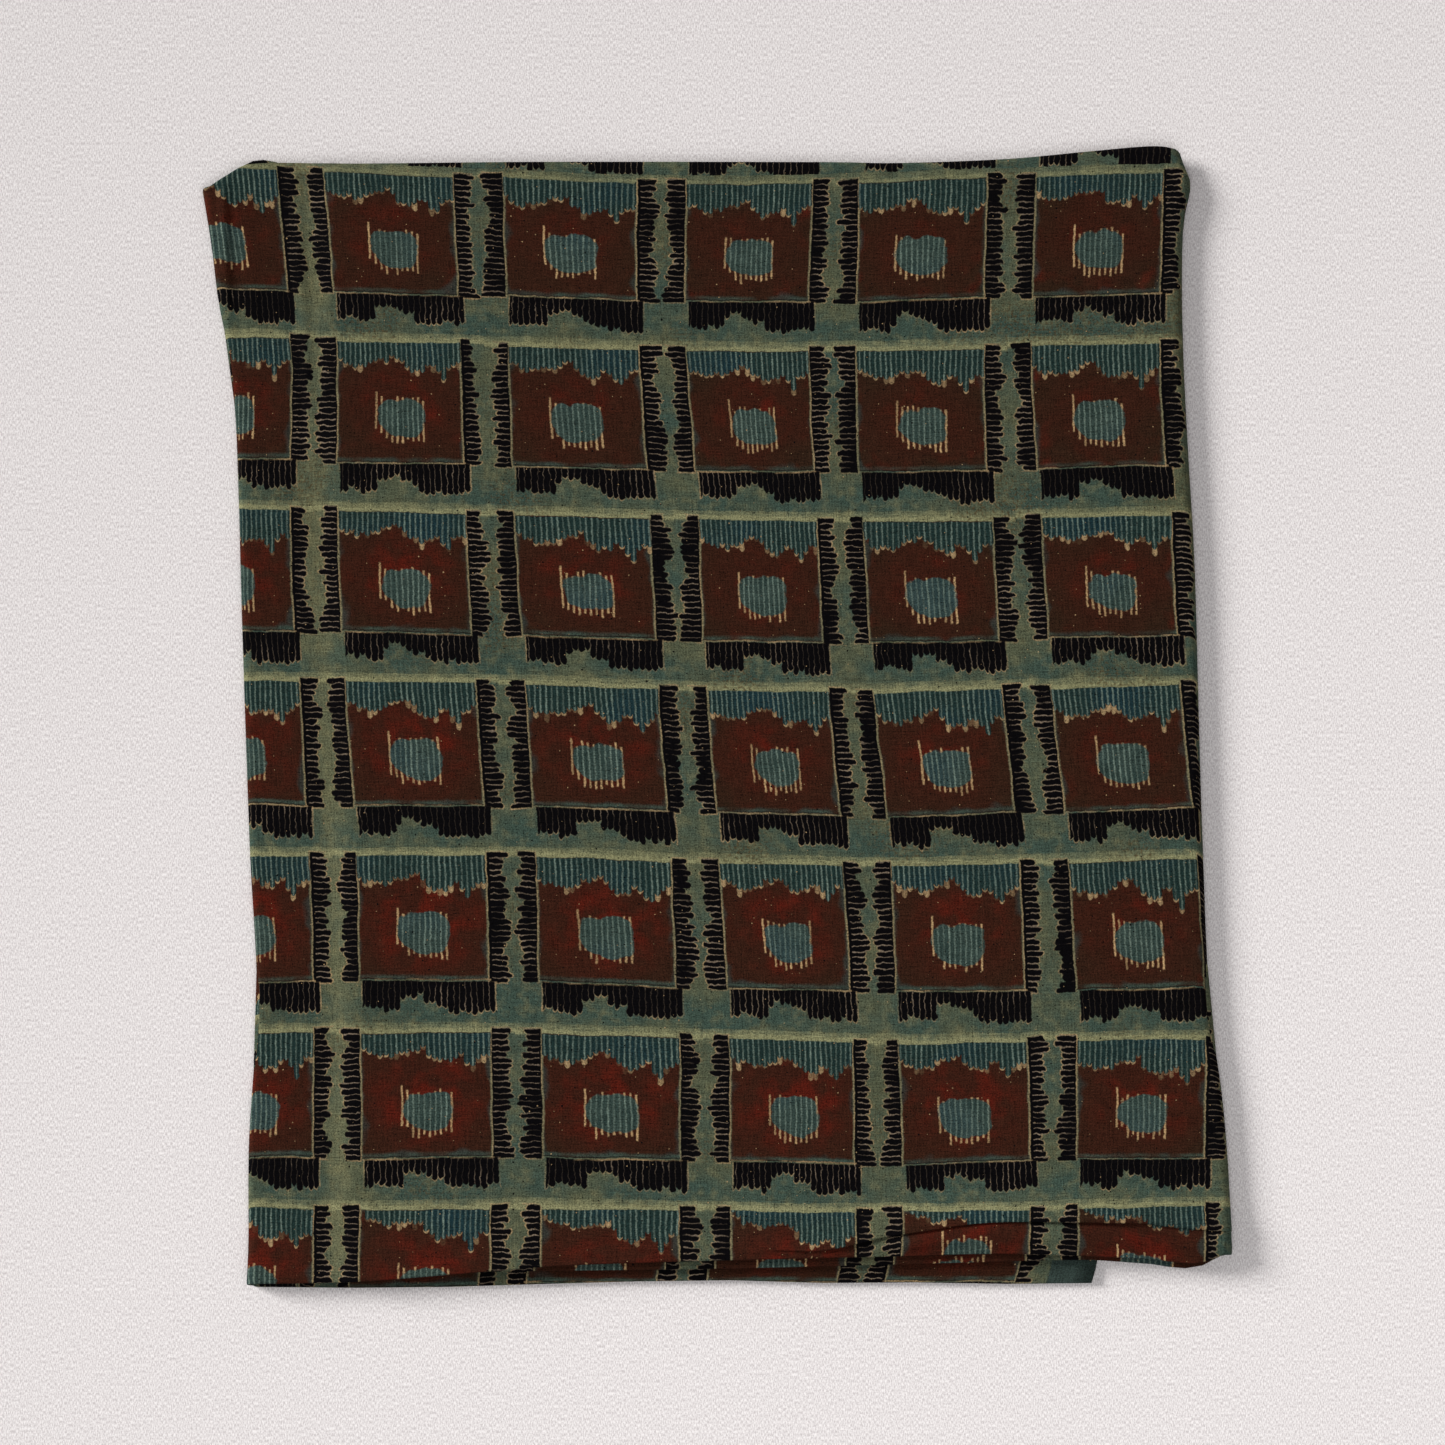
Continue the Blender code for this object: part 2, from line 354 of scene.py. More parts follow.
# The cloth starts at the cut end in ply 2. Each further ply is told with the edge where the cloth
# turned into it, and the rows of that fold.
NEAR, FAR = -1, 1
net = ply_rows(2, to_far=False)
for ply, turned_at, steps in [(3, NEAR, FOLD_STEPS), (4, FAR, FOLD_STEPS), (5, NEAR, WRAP_STEPS),
                              (0, FAR, WRAP_STEPS), (1, NEAR, FOLD_STEPS)]:
    following = ply_rows(ply, to_far=turned_at == NEAR)
    net += end_fold(net[-1], following[0], turned_at, steps)
    if ply == OUTERMOST:
        top_ply_start, top_ply_end = len(net), len(net) + len(following) - 1
    net += following

# Where the print lies on the cloth, in repeats: u counts blocks across and v blocks towards the
# near edge. The blocks are stamped by hand, so their rows and columns wander. LEFT_EDGES gives
# the left edge of each block of a row across the top panel, and FAR_EDGES its far edge.
REPEAT_WIDE, REPEAT_LONG = 74.3, 72.4
LEFT_EDGES = [
    [-239.0, -164.3, -89.2, -12.2, 60.7, 134.4],
    [-229.5, -158.6, -87.0, -12.2, 58.6, 132.5],
    [-230.4, -159.2, -84.8, -7.1, 61.3, 136.1],
    [-227.0, -155.6, -80.0, -4.0, 66.5, 140.9],
    [-222.9, -150.7, -75.8, 1.7, 73.3, 147.6],
    [-219.9, -148.9, -73.3, 5.3, 76.5, 151.0],
    [-220.5, -149.0, -73.0, 6.0, 78.0, 151.5],
]
FAR_EDGES = [
    [232.2, 229.1, 225.7, 223.1, 224.4, 226.7],
    [160.0, 158.1, 156.0, 153.9, 153.9, 155.7],
    [88.2, 86.7, 85.0, 82.7, 82.3, 83.7],
    [15.4, 14.9, 13.9, 11.3, 10.7, 12.5],
    [-57.9, -58.6, -58.4, -60.9, -62.6, -60.6],
    [-133.5, -131.9, -132.1, -134.7, -136.3, -135.5],
    [-205.2, -206.4, -205.4, -206.9, -207.3, -205.7],
]
PRINT_ROUNDS = 7
FIRST_GUESS = (3.0, 3.0)
LEFT_SELVEDGE, RIGHT_SELVEDGE = -4.413, 10.70
# From this far into ply 0 on, in rows, the print runs the other way, a little stretched.
TURN_ROW = 4
TURNED_STRETCH = 1.0036


def in_table(values, at):
    """The smooth curve through evenly spaced values, carried on straight past their ends."""
    last = len(values) - 1
    inside = along(list(enumerate(values)), max(0.0, min(last, at)))
    if at < 0:
        return inside + at * (values[1] - values[0])
    return inside + max(0.0, at - last) * (values[last] - values[last - 1])


def print_at(x, y):
    """The place in the print of a point on the top panel."""
    u, v = FIRST_GUESS
    for _ in range(PRINT_ROUNDS):
        edge = in_table([in_table(row, u) for row in LEFT_EDGES], v)
        top = in_table([in_table(row, u) for row in FAR_EDGES], v)
        u += (x - edge) / REPEAT_WIDE
        v += (top - y) / REPEAT_LONG
    return u, v


def apart(a, b):
    return hypot(a[0] - b[0], a[1] - b[1], a[2] - b[2])


first_top = len(stations(ACROSS_LOWEST)) + SIDE_STEPS - 1
last_top = first_top + len(stations(ACROSS_TOP)) - 1
first_field = top_ply_start + FRONT_ROWS + TUCK_ROWS
columns = len(net[0])
# The rows over the tuck follow the cloth through it, so the part of the print in it is hidden.
print_net = [[None] * columns for _ in net]
for r in range(top_ply_end, top_ply_start - 1, -1):
    for c in range(first_top, last_top + 1):
        if r >= first_field:
            print_net[r][c] = print_at(net[r][c][0], net[r][c][1])
        else:
            u, v = print_net[r + 1][c]
            shift = (net[r][c][0] - net[r + 1][c][0]) / REPEAT_WIDE
            print_net[r][c] = (u + shift, v + apart(net[r][c], net[r + 1][c]) / REPEAT_LONG)
    for c in range(first_top - 1, -1, -1):
        u, v = print_net[r][c + 1]
        print_net[r][c] = (u - apart(net[r][c], net[r][c + 1]) / REPEAT_WIDE, v)
    for c in range(last_top + 1, columns):
        u, v = print_net[r][c - 1]
        print_net[r][c] = (u + apart(net[r][c], net[r][c - 1]) / REPEAT_WIDE, v)
    # The selvedges run straight through the print.
    left_slip = LEFT_SELVEDGE - print_net[r][0][0]
    right_slip = RIGHT_SELVEDGE - print_net[r][-1][0]
    for c in range(columns):
        u, v = print_net[r][c]
        u += left_slip * max(0.0, 1 - c / first_top)
        u += right_slip * max(0.0, (c - last_top) / (columns - 1 - last_top))
        print_net[r][c] = (u, v)
# The other plies carry the print on. From the hidden part of ply 0 on it runs the other way, as
# it does along the lowest strip's near edge in the photograph.
for r in range(top_ply_start - 1, -1, -1):
    for c in range(columns):
        u, v = print_net[r + 1][c]
        print_net[r][c] = (u, v + apart(net[r][c], net[r + 1][c]) / REPEAT_LONG)
print_turns = top_ply_end + WRAP_STEPS + TURN_ROW
for r in range(top_ply_end + 1, len(net)):
    for c in range(columns):
        u, v = print_net[r - 1][c]
        step = apart(net[r][c], net[r - 1][c]) / REPEAT_LONG
        print_net[r][c] = (u, v + step * TURNED_STRETCH if r > print_turns else v - step)

MM = 0.001
bpy.ops.object.select_all(action="DESELECT")
bpy.ops.mesh.primitive_grid_add(x_subdivisions=columns - 1, y_subdivisions=len(net) - 1, size=1)
cloth = bpy.context.object
cloth.name = cloth.data.name = "printed_cotton"
cloth.data.uv_layers[0].name = "print"
place_in_net = []
for vertex in cloth.data.vertices:
    c = round((vertex.co.x + 0.5) * (columns - 1))
    r = round((vertex.co.y + 0.5) * (len(net) - 1))
    place_in_net.append((r, c))
for vertex, (r, c) in zip(cloth.data.vertices, place_in_net):
    vertex.co = [MM * value for value in net[r][c]]
for loop, corner in zip(cloth.data.loops, cloth.data.uv_layers[0].data):
    r, c = place_in_net[loop.vertex_index]
    corner.uv = print_net[r][c]
cloth.data.shade_smooth()
thickness = cloth.modifiers.new("Thickness", "SOLIDIFY")
thickness.thickness = CLOTH_THICKNESS * MM
thickness.offset = 0.0


# The print is drawn by the cloth's material from the place in the print, in millimetres. The
# blocks leave a dark red square with a striped blue band at its far edge, a blue patch in its
# middle, and black combs down both sides and along its near edge, on a green ground.

class Ink:
    """A value that changes over the cloth. It wraps a socket, and sums on it add Math nodes."""

    def __init__(self, socket):
        self.socket = socket

    def node(self, kind, settings, sockets, output=0):
        """Adds a node: its settings first, then the values or links of its sockets."""
        tree = self.socket.id_data
        made = tree.nodes.new(kind)
        for name, value in settings.items():
            if name == "curve":
                points = made.mapping.curves[0].points
                while len(points) < len(value):
                    points.new(0.5, 0.5)
                for point, place in zip(points, value):
                    point.location = place
                made.mapping.update()
            else:
                setattr(made, name, value)
        for name, value in sockets.items():
            if isinstance(value, Ink):
                tree.links.new(value.socket, made.inputs[name])
            else:
                made.inputs[name].default_value = value
        return Ink(made.outputs[output])

    def math(self, operation, *others, clamp=False):
        settings = {"operation": operation, "use_clamp": clamp}
        return self.node("ShaderNodeMath", settings, dict(enumerate((self, *others))))

    def __add__(self, other):
        return self.math("ADD", other)

    __radd__ = __add__

    def __sub__(self, other):
        return self.math("SUBTRACT", other)

    def __rsub__(self, other):
        return self.node("ShaderNodeMath", {"operation": "SUBTRACT"}, {0: other, 1: self})

    def __mul__(self, other):
        return self.math("MULTIPLY", other)

    __rmul__ = __mul__

    def __truediv__(self, other):
        return self.math("DIVIDE", other)

    def __abs__(self):
        return self.math("ABSOLUTE")

    def floor(self):
        return self.math("FLOOR")

    def least(self, other):
        return self.math("MINIMUM", other)

    def most(self, other):
        return self.math("MAXIMUM", other)

    def upto(self, top=1.0):
        """This value, kept from 0 to a top."""
        return self.math("MINIMUM", top, clamp=True)

    def above(self, level, gain):
        """From 0 to 1 as this value rises past a level."""
        return ((self - level) * gain).upto()

    def swing(self, width):
        """This value from 0 to 1, as one that swings to both sides of 0."""
        return (self - 0.5) * width

    def edge(self, soft=0.25):
        """1 where this distance is inside, 0 outside, over a soft edge."""
        return self.math("MULTIPLY_ADD", 1 / soft, 0.5, clamp=True)

    def band(self, centre, half, soft=0.25):
        """1 within half of the centre."""
        return (half - abs(self - centre)).edge(soft)

    def hump(self, width):
        """1 at 0 and falling away softly on both sides."""
        share = abs(self / width).least(1.0)
        return 1 - share * share * (3 - 2 * share)

    def curve(self, points):
        """The smooth curve through points, both ways from 0 to 1."""
        return self.node("ShaderNodeFloatCurve", {"curve": points}, {"Value": self})

    def vector(self, y=0.0, z=0.0):
        return self.node("ShaderNodeCombineXYZ", {}, {0: self, 1: y, 2: z})

    def part(self, axis):
        return self.node("ShaderNodeSeparateXYZ", {}, {0: self}, output=axis)

    def chance(self):
        """Three chance values from 0 to 1 for each whole place of this vector."""
        return self.node("ShaderNodeTexWhiteNoise", {"noise_dimensions": "3D"}, {"Vector": self}, 1)

    def cloudy(self, size, detail=2.0, output=0):
        """Soft noise with patches of about this size. Output 1 holds three of them."""
        sockets = {"Vector": self, "Scale": 1 / size, "Detail": detail}
        return self.node("ShaderNodeTexNoise", {}, sockets, output)

    def stretched(self, x, y, z=0.0):
        """This vector, each part times a number."""
        return self.node("ShaderNodeVectorMath", {"operation": "MULTIPLY"}, {0: self, 1: (x, y, z)})

    def over(self, below, above):
        """The colour below, with the colour above where this mask is 1."""
        return self.node("ShaderNodeMix", {"data_type": "RGBA"}, {0: self, 6: below, 7: above}, 2)


def dye(red, green, blue):
    """A colour as the eye reads it on a screen, from 0 to 255."""
    def linear(level):
        share = level / 255
        return share / 12.92 if share <= 0.04045 else ((share + 0.055) / 1.055) ** 2.4
    return (linear(red), linear(green), linear(blue), 1.0)


GROUND = dye(78, 83, 64)
GROUND_BLUE = dye(58, 74, 65)
GROUND_YELLOW = dye(108, 106, 77)
PALE_YELLOW = dye(132, 131, 96)
MADDER = dye(55, 26, 17)
MADDER_RED = dye(84, 24, 14)
MADDER_BROWN = dye(45, 29, 19)
INDIGO = dye(27, 44, 42)
INDIGO_BLUE = dye(24, 45, 50)
INDIGO_PALE = dye(108, 124, 113)
INDIGO_BLED = dye(46, 54, 50)
BLACK = dye(6, 5, 7)
RESIST = dye(150, 126, 92)
RESIST_BRIGHT = dye(172, 142, 102)
RESIST_GREY = dye(122, 108, 92)
RESIST_GREEN = dye(110, 106, 80)
DUST = dye(70, 56, 34)
SELVEDGE = dye(50, 62, 58)

# Sizes of the block in millimetres, from the far left corner of its square.
SQUARE_WIDE, SQUARE_LONG = 53.8, 50.8
BEFORE_X, BEFORE_Y = 10.5, 4.2
STRIPE, BAND_LONGEST = 2.25, 20.0
PATCH_X, PATCH_Y, PATCH_HALF_WIDE, PATCH_HALF_LONG = 27.4, 31.9, 10.4, 8.2
NOTCH_X, NOTCH_HALF_WIDE = 25, 3.5
TOOTH = 2.46
SIDE_COMB, SIDE_COMB_FAR, SIDE_COMB_NEAR = 7.4, -1.9, 51.8
NEAR_COMB_LONGEST, NEAR_COMB_START, NEAR_COMB_END = 15.0, 1.3, 56.5
COMB_TIP = 12
SELVEDGE_MARGIN = 0.245
# The row of blocks beyond the far edge sits this much nearer, so its combs show along the fold.
FAR_ROW_SLIP = 5.2
# The last row's blue band is shorter, most so at its left.
LAST_ROW, SHORTER, SHORTER_LESS, SHORTER_LEAST = 6, 8.0, 11.0, 1.5

# The chance in the printing: how far the ink's edges wander, slowly and quickly, how far a block
# is turned and slips, and how far the resist that was printed first slips from it.
SLOW_SIZE, SLOW_WANDER = 16, 1.6
QUICK_SIZE, QUICK_WANDER = 1.7, 0.8
BLOCK_TURN, BLOCK_SLIP = 0.034, 0.8
RESIST_SLIP_X, RESIST_SLIP_Y = 1.2, 0.9
BLOCK_MIDDLE_X, BLOCK_MIDDLE_Y = 27, 25

# How deep the blue band reaches, and how long the near comb's teeth are, across the block.
BAND_CHART = [(0, 0.38), (0.09, 0.56), (0.22, 0.6), (0.33, 0.52), (0.42, 0.44), (0.47, 0.4),
              (0.52, 0.52), (0.6, 0.69), (0.67, 0.72), (0.76, 0.6), (0.81, 0.72), (0.86, 0.9),
              (0.905, 0.66), (0.95, 0.58), (1, 0.58)]
COMB_CHART = [(0, 0.8), (0.12, 0.74), (0.2, 0.78), (0.26, 0.82), (0.31, 0.5), (0.37, 0.4),
              (0.45, 0.4), (0.52, 0.58), (0.58, 0.6), (0.66, 0.84), (0.8, 0.84), (1, 0.84)]

cotton = bpy.data.materials.new("printed_cotton")
cotton.use_nodes = True
shader = cotton.node_tree.nodes["Principled BSDF"]
uv_node = cotton.node_tree.nodes.new("ShaderNodeUVMap")
uv_node.uv_map = "print"
place = Ink(uv_node.outputs["UV"]).stretched(REPEAT_WIDE, REPEAT_LONG)

slow = place.cloudy(SLOW_SIZE, 1.0, output=1)
quick = place.cloudy(QUICK_SIZE, 1.0, output=1)
flat_x, flat_y = place.part(0), place.part(1)
x = flat_x + slow.part(0).swing(SLOW_WANDER) + quick.part(0).swing(QUICK_WANDER)
y = flat_y + slow.part(1).swing(SLOW_WANDER) + quick.part(1).swing(QUICK_WANDER)

# The block that prints here, and the place in it. Each is set down a little askew.
column = ((x + BEFORE_X) / REPEAT_WIDE).floor()
row = ((y + BEFORE_Y) / REPEAT_LONG).floor()
here_x, here_y = x - column * REPEAT_WIDE, y - row * REPEAT_LONG
block_chance = column.vector(row, 0.5).chance()
turn = block_chance.part(0).swing(BLOCK_TURN)
block_x = here_x + (here_y - BLOCK_MIDDLE_Y) * turn + block_chance.part(1).swing(BLOCK_SLIP)
block_y = here_y - (here_x - BLOCK_MIDDLE_X) * turn + block_chance.part(2).swing(BLOCK_SLIP)
block_y = block_y - (row + 0.5).math("LESS_THAN", 0.0) * FAR_ROW_SLIP
slip_chance = column.vector(row, 1.5).chance()
resist_x = block_x + slip_chance.part(0).swing(RESIST_SLIP_X)
resist_y = block_y + slip_chance.part(1).swing(RESIST_SLIP_Y)
inking = slip_chance.part(2)

# The green ground, mottled bluer and yellower, with a pale line behind each row of blocks.
patchy, spotty, fine = place.cloudy(30, 3.0), place.cloudy(5, 3.0), place.cloudy(1.3, 2.0)
past_comb = block_y - SQUARE_LONG - COMB_TIP
past_last_comb = block_y + REPEAT_LONG - SQUARE_LONG - COMB_TIP
below_comb = past_comb.hump(8) + past_last_comb.hump(8)
ground = (patchy - 0.12 * below_comb).above(0.36, 4).over(GROUND_BLUE, GROUND)
ground = spotty.above(0.48, 2.2).over(ground, GROUND_YELLOW)
# Painted highlight: the ground is painted yellower where the middle panel's selvedge presses
# through from below, along the face of the top panel's step that turns towards the light.
LIT_STEP_X, LIT_STEP_WIDTH = 64, 10
ground = ((flat_x - LIT_STEP_X).hump(LIT_STEP_WIDTH) * spotty * 0.9).over(ground, GROUND_YELLOW)
wide_line = (resist_y + 2.6).hump(4.0) * (spotty - 0.1)
thin_line = (resist_y + 1.0).hump(1.7) * (0.3 + spotty)
pale_line = (wide_line + thin_line) * (0.4 + 1.4 * fine) * (0.5 + 0.5 * row.least(1.0))
ground = pale_line.upto(0.85).over(ground, PALE_YELLOW)
dusty = place.cloudy(42, 1.0).above(0.52, 6) * place.cloudy(1.2, 1.0).above(0.5, 6)
ground = (dusty * 0.75).over(ground, DUST)

# The square, redder round its middle and browner towards its corners.
inside_x = block_x.least(SQUARE_WIDE - block_x)
inside_y = block_y.least(SQUARE_LONG - block_y)
inside = inside_x.least(inside_y)
RED_MIDDLE, RED_HALF_WIDE, RED_HALF_LONG = 27, 30, 24
from_middle_x = (block_x - RED_MIDDLE) / RED_HALF_WIDE
from_middle_y = (block_y - RED_MIDDLE) / RED_HALF_LONG
from_middle = (from_middle_x * from_middle_x + from_middle_y * from_middle_y).math("SQRT")
# The colour drifts, so the blocks get redder towards the near left.
drift = ((row * 0.07 - column * 0.05) - 0.12).least(0.08).most(-0.3)
red_share = (0.95 + drift - from_middle) * 2.4
red_share = red_share * (place.cloudy(10, 2.0) - 0.44 + drift * 0.2) * 2.4
browner = (from_middle - 0.35 - drift) * (place.cloudy(20, 2.0) - 0.2) * 2.6
madder = browner.upto().over(MADDER, MADDER_BROWN)
madder = red_share.upto(0.75).over(madder, MADDER_RED)
# Blue that bled into the square from its sides.
bleed = 0.25 - inside / 7 + (place.cloudy(15, 2.0) - 0.52) * 2.2
madder = (bleed * 2.2).upto(0.7).over(madder, INDIGO_BLED)
colour = inside.edge().over(ground, madder)

# Pale lines where the square meets its combs, and a bluish one inside its near edge.
side_line = (abs(block_x - SQUARE_WIDE / 2) - SQUARE_WIDE / 2).band(0.1, 0.55, 0.5)
side_line = side_line * (SQUARE_LONG / 2 - abs(block_y - SQUARE_LONG / 2) + 1).edge()
colour = (side_line * (0.35 + spotty)).least(0.9).over(colour, RESIST_GREEN)
near_line = (block_y - SQUARE_LONG).band(-1.0, 0.6, 1.3) * inside_x.edge()
near_line = near_line * (place.cloudy(12, 1.0) * 2.6 - 0.7 + drift)
colour = near_line.upto(0.8).over(colour, GROUND_BLUE)
resist_line = (resist_y - SQUARE_LONG).band(0.35, 0.3, 0.3) * (block_x - 0.5).edge()
resist_line = resist_line * (SQUARE_WIDE + 1 - block_x).edge()

# The blue band: a row of stripes, each with a pale line down its middle and a round tan tip.
stripe = (resist_x / STRIPE).floor()
in_stripe = resist_x / STRIPE - stripe - 0.5
stripe_chance = stripe.vector(row, column * 7.0 + 3.5).chance()
stripe_middle = (stripe + 0.5) * (STRIPE / SQUARE_WIDE)
reach = stripe_middle.curve(BAND_CHART) * BAND_LONGEST * (0.82 + 0.28 * inking)
reach = reach + stripe_chance.part(0).swing(2.4) - 0.6
shorter = (SHORTER - SHORTER_LESS * stripe_middle).most(SHORTER_LEAST)
reach = reach - (row - (LAST_ROW - 0.5)).math("GREATER_THAN", 0.0) * shorter
round_end = in_stripe * in_stripe * 4.0
beyond = reach - resist_y - round_end
pale_stripe = in_stripe.band(0.0, 0.13, 0.22) * (0.4 + 0.6 * stripe_chance.part(1))
indigo = place.cloudy(34, 1.0).above(0.5, 5).over(INDIGO, INDIGO_BLUE)
pale_share = pale_stripe * (0.4 + 1.2 * (place.cloudy(3) - 0.15))
indigo = pale_share.upto().over(indigo, INDIGO_PALE)
within = (resist_x.least(SQUARE_WIDE - resist_x) + 0.1).edge()
in_band = beyond.edge(0.35) * within * (resist_y + 0.1).edge()
tip_length = 0.8 + (stripe_chance.part(1) - 0.62).most(0.0) * 6.5
tip = ((beyond + tip_length).edge(0.4) - beyond.edge(0.4)) * within * (resist_y - 2).edge()
tip_share = (stripe_chance.part(2) * 1.5 - 0.25).upto()
colour = (tip * tip_share * (1 - round_end * 0.5)).over(colour, RESIST)
colour = in_band.over(colour, indigo)

# The blue patch in the middle, with tan lines that run out of its near side.
wave = place.cloudy(8, 1.0).swing(3)
patch_x = (resist_x - PATCH_X) / PATCH_HALF_WIDE
patch_y = (resist_y - PATCH_Y + wave) / PATCH_HALF_LONG
corner = abs(patch_x) * patch_x * patch_x + abs(patch_y) * patch_y * patch_y
notch = (resist_x - NOTCH_X).hump(NOTCH_HALF_WIDE) * 1.2 * (patch_y * -1).edge(1)
cut = (patch_y - patch_x - 1.05).most(0.0) * 1.4
patch = (1 - corner - cut) * 4 - notch + place.cloudy(6).swing(5)
patch = patch + slip_chance.part(0).swing(1.6)
line_chance = (stripe + 100).vector(row, column * 7.0 + 3.5).chance()
patch_line = in_stripe.band(0.0, 0.13 + 0.1 * place.cloudy(1.6, 1.0), 0.16)
# The lines lie on the same stripes as the band's, and the first lies a little further back.
FIRST_LINE, MIDDLE_LINE, LINES_HALF = 7, 11.5, 4.7
LINE_FAR, LINE_NEAR = 24.4, 43.4
first_line = (stripe - FIRST_LINE).band(0.0, 0.4, 0.1)
line_far = LINE_FAR - 2.8 * first_line + (line_chance.part(0) - 0.62) * 2.8
line_near = LINE_NEAR - 4.6 * (stripe - FIRST_LINE).band(0.0, 1.2, 0.8)
line_near = line_near - line_chance.part(1) * 3.0
line_on = (resist_y - line_far).least(line_near - resist_y).edge(0.5)
line_on = line_on * (stripe - MIDDLE_LINE).band(0.0, LINES_HALF, 0.1) * patch_line
patch_dye = (place.cloudy(9) * 0.25).over(indigo, INDIGO_PALE)
colour = patch.edge(0.8).over(colour, patch_dye)
outside_patch = 1 - patch.edge(1.0) * (1.02 - abs(patch_x)).edge(0.15)
line_share = line_on * outside_patch * (0.55 + 0.45 * line_chance.part(2))
colour = line_share.over(colour, RESIST_BRIGHT)

# The combs down both sides: black teeth with thin tan gaps, and a ragged outer edge.
to_side = abs(block_x - SQUARE_WIDE / 2) - SQUARE_WIDE / 2
which_side = (block_x - SQUARE_WIDE / 2).math("SIGN")
wobble = place.cloudy(3.5, 1.0).swing(1.7)
tooth_y = (block_y - SIDE_COMB_FAR + wobble) / TOOTH
tooth = tooth_y.floor()
in_tooth = tooth_y - tooth - 0.5
tooth_chance = tooth.vector(row, column * 5.0 + which_side + 0.5).chance()
swell = (block_y / 9).vector(row * 3.7, column * 2.3 + which_side).cloudy(1.0, 1.0)
tooth_reach = SIDE_COMB + swell.swing(9) + tooth_chance.part(0).swing(2.6)
side_left = tooth_reach - to_side - in_tooth * in_tooth * 3.5
side_ends = (block_y - SIDE_COMB_FAR).least(SIDE_COMB_NEAR - block_y)
side_comb = side_left.least(side_ends).least(to_side - 0.35)
# Where the block was starved of ink the gaps show paler, and they open towards a tooth's end.
starved = place.cloudy(7, 2.0).swing(2.2) + place.cloudy(24, 1.0).swing(2.2)
toward_end = (1 - (tooth_reach - to_side) / 2.6).upto()
side_gap = abs(in_tooth) - 0.46 + 0.06 * tooth_chance.part(1) + 0.1 * toward_end
side_gap = side_gap.edge(0.1) * (to_side - 0.5 - tooth_chance.part(2) * 0.8).edge(0.6)
side_gap = side_gap * (0.85 + starved - 0.5 * inking).upto(0.9)
flooded = to_side.band(1.0, 0.55, 0.4) * (slip_chance.part(1) * which_side - 0.22).edge(0.04)
side_gap = side_gap * (1 - flooded)
side_rim = ((side_comb + 0.5).edge(0.5) - side_comb.edge(0.4)) * (to_side + 0.1).edge()
colour = (side_rim.most(0.0) * (0.5 + starved)).upto(0.85).over(colour, RESIST)
colour = side_comb.edge(0.35).over(colour, side_gap.over(BLACK, RESIST_GREY))

# The comb along the near edge, with its longer teeth and the arch near its left end.
tooth_x = (block_x + wobble) / TOOTH
near_tooth = tooth_x.floor()
in_near = tooth_x - near_tooth - 0.5
near_chance = near_tooth.vector(row, column * 3.0 + 8.5).chance()
near_middle = (near_tooth + 0.5) * (TOOTH / NEAR_COMB_END)
near_reach = near_middle.curve(COMB_CHART) * NEAR_COMB_LONGEST * (0.94 + 0.12 * inking)
near_reach = near_reach + near_chance.part(0).swing(2.4)
from_square = block_y - SQUARE_LONG - 0.6
near_comb = near_reach - from_square - in_near * in_near * 5
near_comb = near_comb.least(block_x - NEAR_COMB_START).least(NEAR_COMB_END - block_x)
near_comb = near_comb.least(from_square)
near_gap = (abs(in_near) - 0.48 + 0.05 * near_chance.part(1)).edge(0.1)
near_gap = near_gap * (0.55 + starved * 1.2 - 0.55 * inking).least(0.85).most(0.14)
near_rim = ((near_comb + 0.5).edge(0.5) - near_comb.edge(0.4)) * from_square.edge()
colour = (near_rim.most(0.0) * (0.4 + starved)).upto(0.8).over(colour, RESIST)
colour = near_comb.edge(0.35).over(colour, near_gap.over(BLACK, RESIST_GREY))
black_line = (block_y - SQUARE_LONG).band(-0.1, 0.22, 0.3) * inside_x.edge()
colour = (black_line * 0.75).over(colour, BLACK)
resist_line = resist_line * (0.35 + starved)
colour = resist_line.upto(0.75).over(colour, RESIST)

# Plain blue margins along both selvedges.
margin_left = LEFT_SELVEDGE + SELVEDGE_MARGIN
margin_right = RIGHT_SELVEDGE - SELVEDGE_MARGIN
across = flat_x / REPEAT_WIDE
margin = ((margin_left - across).most(across - margin_right)).edge(0.01)
colour = margin.over(colour, SELVEDGE)

# Loose specks of ink and of bare cotton, and the uneven threads of the weave.
colour = (place.cloudy(1.1, 0.0) - 0.85).edge(0.03).over(colour, RESIST)
colour = (0.185 - place.cloudy(1.3, 0.0)).edge(0.03).over(colour, BLACK)
weft = place.stretched(0.14, 1.5).cloudy(1.0, 1.0)
warp = place.stretched(1.5, 0.14).cloudy(1.0, 1.0)
grain = place.cloudy(0.6, 2.0)
threads = (weft + warp) * 0.5
shade = 0.97 + threads.swing(1.8) + grain.swing(2.6)
multiply = {"data_type": "RGBA", "blend_type": "MULTIPLY"}
colour = colour.node("ShaderNodeMix", multiply, {0: 1.0, 6: colour, 7: shade}, 2)
weave = threads + grain * 0.5
relief = colour.node("ShaderNodeBump", {}, {"Strength": 0.35, "Distance": 0.0002, "Height": weave})
cotton.node_tree.links.new(colour.socket, shader.inputs["Base Color"])
cotton.node_tree.links.new(relief.socket, shader.inputs["Normal"])
shader.inputs["Roughness"].default_value = 0.88
shader.inputs["Specular IOR Level"].default_value = 0.04
cloth.data.materials.append(cotton)

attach(cloth, "root")
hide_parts("folded_cloth")


# The floor.
# A plain pale surface with a very fine woven grain, level and just under the cloth.

FLOOR_SIZE, FLOOR_DROP = 16, 0.0002
FLOOR_DARK, FLOOR_PALE = dye(206, 200, 201), dye(252, 248, 248)
FLOOR_THREAD, FLOOR_SPECK, FLOOR_CONTRAST = 0.0004, 0.0006, 4.2

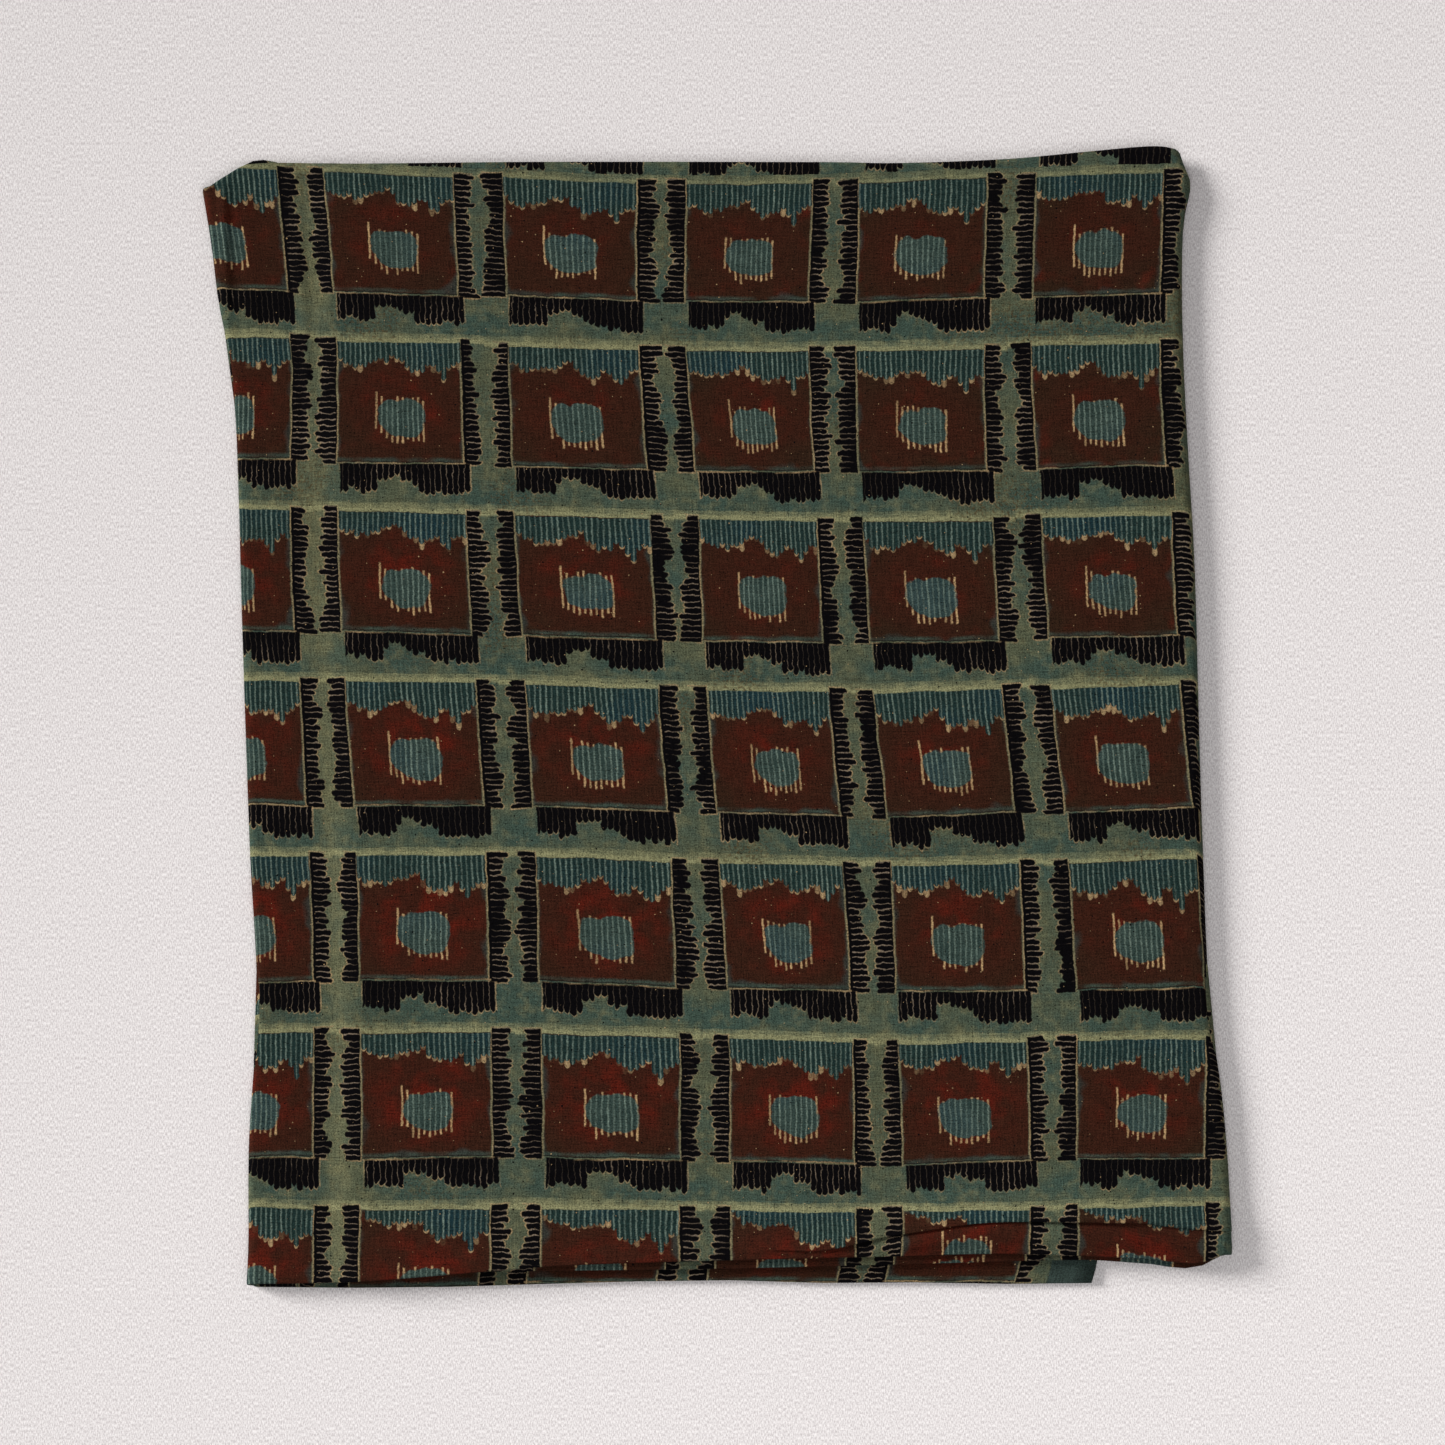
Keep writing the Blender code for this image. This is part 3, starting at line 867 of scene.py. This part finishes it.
bpy.ops.object.select_all(action="DESELECT")
bpy.ops.mesh.primitive_plane_add(size=FLOOR_SIZE, location=(0, 0, 0))
floor = bpy.context.object
floor.name = floor.data.name = "floor"
for vertex in floor.data.vertices:
    vertex.co.z = -FLOOR_DROP
paper = bpy.data.materials.new("pale_floor")
paper.use_nodes = True
paper_shader = paper.node_tree.nodes["Principled BSDF"]
floor_place = Ink(paper.node_tree.nodes.new("ShaderNodeTexCoord").outputs["Object"])
floor_warp = floor_place.stretched(1.0, 0.3).cloudy(FLOOR_THREAD, 1.0)
floor_weft = floor_place.stretched(0.35, 1.0).cloudy(FLOOR_THREAD, 1.0)
floor_specks = floor_place.cloudy(FLOOR_SPECK, 2.0)
floor_grain = floor_warp * 0.65 + floor_weft * 0.22 + floor_specks * 0.13
floor_colour = (floor_grain.swing(FLOOR_CONTRAST) + 0.5).upto().over(FLOOR_DARK, FLOOR_PALE)
paper.node_tree.links.new(floor_colour.socket, paper_shader.inputs["Base Color"])
paper_shader.inputs["Roughness"].default_value = 0.9
paper_shader.inputs["Specular IOR Level"].default_value = 0.1
floor.data.materials.append(paper)


# The light.
# Broad soft daylight from the left and a little from the far side, 23 degrees high, a weaker lamp
# above the near side, and a pale room.

SUN_TILT, SUN_TURN, SUN_SOFTNESS = radians(-67), radians(-24), radians(20)
sun_data = bpy.data.lights.new("key", "SUN")
sun_data.energy = 3.9
sun_data.angle = SUN_SOFTNESS
sun_data.color = (1.0, 0.985, 0.96)
sun = bpy.data.objects.new("key", sun_data)
sun.rotation_euler = (0, SUN_TILT, SUN_TURN)
bpy.context.collection.objects.link(sun)

fill_data = bpy.data.lights.new("fill", "AREA")
fill_data.energy = 5.8
fill_data.size = 0.8
fill = bpy.data.objects.new("fill", fill_data)
fill.location = (0.1, -0.5, 1.3)
bpy.context.collection.objects.link(fill)

world = bpy.data.worlds.new("room")
world.use_nodes = True
world.node_tree.nodes["Background"].inputs["Color"].default_value = (1.0, 0.985, 0.985, 1.0)
world.node_tree.nodes["Background"].inputs["Strength"].default_value = 0.25
bpy.context.scene.world = world
bpy.context.scene.view_settings.view_transform = "Standard"


# The camera.
# Straight above the cloth, a little off its middle, as the photograph was taken.

CAMERA_X, CAMERA_Y, CAMERA_HEIGHT = 0.0027, -0.0019, 1.5
# The width that it sees at the height of the cloth's top, and its sensor's in millimetres.
VIEW_WIDTH, CLOTH_TOP, SENSOR = 0.605, 0.009, 36
camera_data = bpy.data.cameras.new("camera")
camera_data.sensor_width = SENSOR
camera_data.lens = SENSOR * (CAMERA_HEIGHT - CLOTH_TOP) / VIEW_WIDTH
camera = bpy.data.objects.new("camera", camera_data)
camera.location = (CAMERA_X, CAMERA_Y, CAMERA_HEIGHT)
bpy.context.collection.objects.link(camera)
bpy.context.scene.camera = camera
